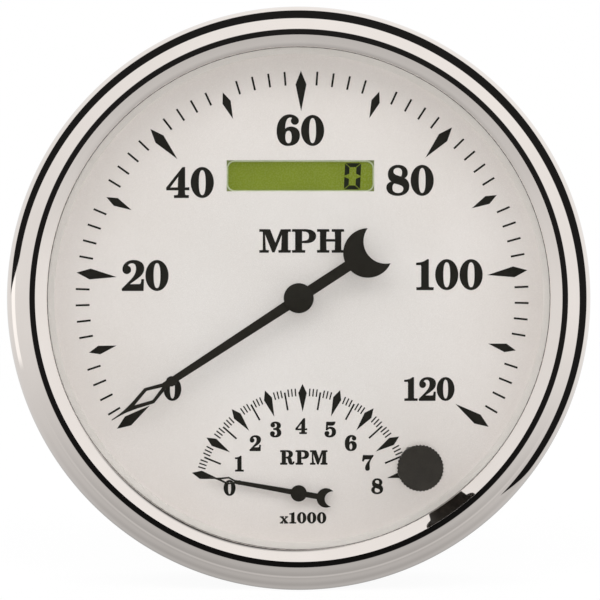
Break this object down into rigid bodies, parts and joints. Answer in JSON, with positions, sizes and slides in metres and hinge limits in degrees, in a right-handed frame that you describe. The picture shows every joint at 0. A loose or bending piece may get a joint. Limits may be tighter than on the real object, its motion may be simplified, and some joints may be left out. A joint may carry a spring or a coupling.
{
  "type": "dash speedometer",
  "caption": "Round electric dash speedometer with a chrome bezel, pearl dial, lance pointers, a small rev counter, a green distance window and a push button through the lens.",
  "frame": {"origin": "on the gauge axis, in the plane of the bezel's rear lip, which is the front of the panel", "axes": "the dial faces -Y, +Y points behind the panel, +Z is 12 o'clock, +X is to the right of someone reading the dial"},
  "size_m": [0.135, 0.0758, 0.135],
  "materials": {
    "bezel_chrome": "bright chrome plate",
    "clear_lens": "clear flat lens",
    "black_rubber": "matt",
    "white_plastic": "satin white",
    "dial_face": "pearl white with black print",
    "clear_guide": "clear, frosted back",
    "case_steel": "satin black paint",
    "plated_steel": "zinc plated",
    "black_plastic": "moulded",
    "pin_brass": "tin over brass",
    "board_green": "solder resist",
    "chip_black": "moulded",
    "can_aluminium": "drawn can",
    "lamp_white": "diffusing",
    "display_green": "green reflective display",
    "display_frame": "moulded",
    "motor_plastic": "moulded",
    "stator_steel": "stamped",
    "coil_copper": "enamelled wire",
    "magnet_grey": "sintered",
    "gear_plastic": "moulded",
    "pointer_black": "semi-matt black",
    "button_black": "semi-matt black"
  },
  "bodies": {
    "gauge": {"bezel": "bezel_chrome", "lens_gasket": "black_rubber", "lens": "clear_lens", "spacer_ring": "white_plastic", "dial": "dial_face", "light_guide": "clear_guide", "chassis": "white_plastic", "case": "case_steel", "mounting_studs": "plated_steel", "stud_nuts": "plated_steel", "stud_washers": "plated_steel", "socket_shell": "black_plastic", "socket_pins": "pin_brass", "circuit_board": "board_green", "board_screws": "plated_steel", "board_chips": "chip_black", "board_capacitors": "can_aluminium", "dial_lamps": "lamp_white", "display_glass": "display_green", "display_frame": "display_frame", "display_backlight": "lamp_white", "display_contacts": "black_rubber", "button_bush": "black_plastic", "bush_nut": "plated_steel", "stem_seal": "black_rubber", "button_spring": "plated_steel", "switch_body": "black_plastic", "speed_motor_base": "motor_plastic", "speed_motor_cover": "motor_plastic", "speed_stator": "stator_steel", "speed_coils": "coil_copper", "speed_axles": "plated_steel", "rev_motor_base": "motor_plastic", "rev_motor_cover": "motor_plastic", "rev_stator": "stator_steel", "rev_coils": "coil_copper", "rev_axles": "plated_steel"},
    "speed_pointer": {"speed_pointer": "pointer_black", "speed_hub": "pointer_black", "speed_cap": "pointer_black", "speed_shaft": "plated_steel", "speed_output_gear": "gear_plastic"},
    "speed_idler": {"speed_idler_wheel": "gear_plastic", "speed_idler_pinion": "gear_plastic"},
    "speed_rotor": {"speed_magnet": "magnet_grey", "speed_rotor_pinion": "gear_plastic"},
    "rev_pointer": {"rev_pointer": "pointer_black", "rev_hub": "pointer_black", "rev_cap": "pointer_black", "rev_shaft": "plated_steel", "rev_output_gear": "gear_plastic"},
    "rev_idler": {"rev_idler_wheel": "gear_plastic", "rev_idler_pinion": "gear_plastic"},
    "rev_rotor": {"rev_magnet": "magnet_grey", "rev_rotor_pinion": "gear_plastic"},
    "trip_button": {"button_cap": "button_black", "button_stem": "plated_steel"},
    "switch_plunger": {"switch_plunger": "white_plastic"}
  },
  "joints": [
    {"name": "speed_sweep", "type": "hinge", "parent": "gauge", "child": "speed_pointer", "pos_m": [0, 0, 0], "axis": [0, 1, 0], "range_deg": [-1.88, 248.12]},
    {"name": "speed_idler_turn", "type": "hinge", "parent": "gauge", "child": "speed_idler", "pos_m": [-0.00679, 0.015, -0.00679], "axis": [0, 1, 0], "range_deg": [-1737.38, 13.62]},
    {"name": "speed_rotor_turn", "type": "hinge", "parent": "gauge", "child": "speed_rotor", "pos_m": [-0.01039, 0.017, -0.00055], "axis": [0, 1, 0], "range_deg": [-67.62, 8686.38]},
    {"name": "rev_sweep", "type": "hinge", "parent": "gauge", "child": "rev_pointer", "pos_m": [0, 0, -0.0455], "axis": [0, 1, 0], "range_deg": [0, 160]},
    {"name": "rev_idler_turn", "type": "hinge", "parent": "gauge", "child": "rev_idler", "pos_m": [-0.00679, 0.015, -0.03871], "axis": [0, 1, 0], "range_deg": [-1120.5, 0.5]},
    {"name": "rev_rotor_turn", "type": "hinge", "parent": "gauge", "child": "rev_rotor", "pos_m": [-0.00055, 0.017, -0.03511], "axis": [0, 1, 0], "range_deg": [-2, 5602]},
    {"name": "button_press", "type": "slide", "parent": "gauge", "child": "trip_button", "axis": [0, 1, 0], "range_m": [0, 0.0012], "stiffness_N_per_m": 600, "springref_m": -0.002, "deforming": ["button_spring"]},
    {"name": "plunger_press", "type": "slide", "parent": "gauge", "child": "switch_plunger", "axis": [0, 1, 0], "range_m": [0, 0.0012]}
  ],
  "couplings": [
    {"joint": "speed_idler_turn", "follows": "speed_sweep", "ratio": -7},
    {"joint": "speed_rotor_turn", "follows": "speed_sweep", "ratio": 35},
    {"joint": "rev_idler_turn", "follows": "rev_sweep", "ratio": -7},
    {"joint": "rev_rotor_turn", "follows": "rev_sweep", "ratio": 35},
    {"joint": "plunger_press", "follows": "button_press", "ratio": 1}
  ]
}
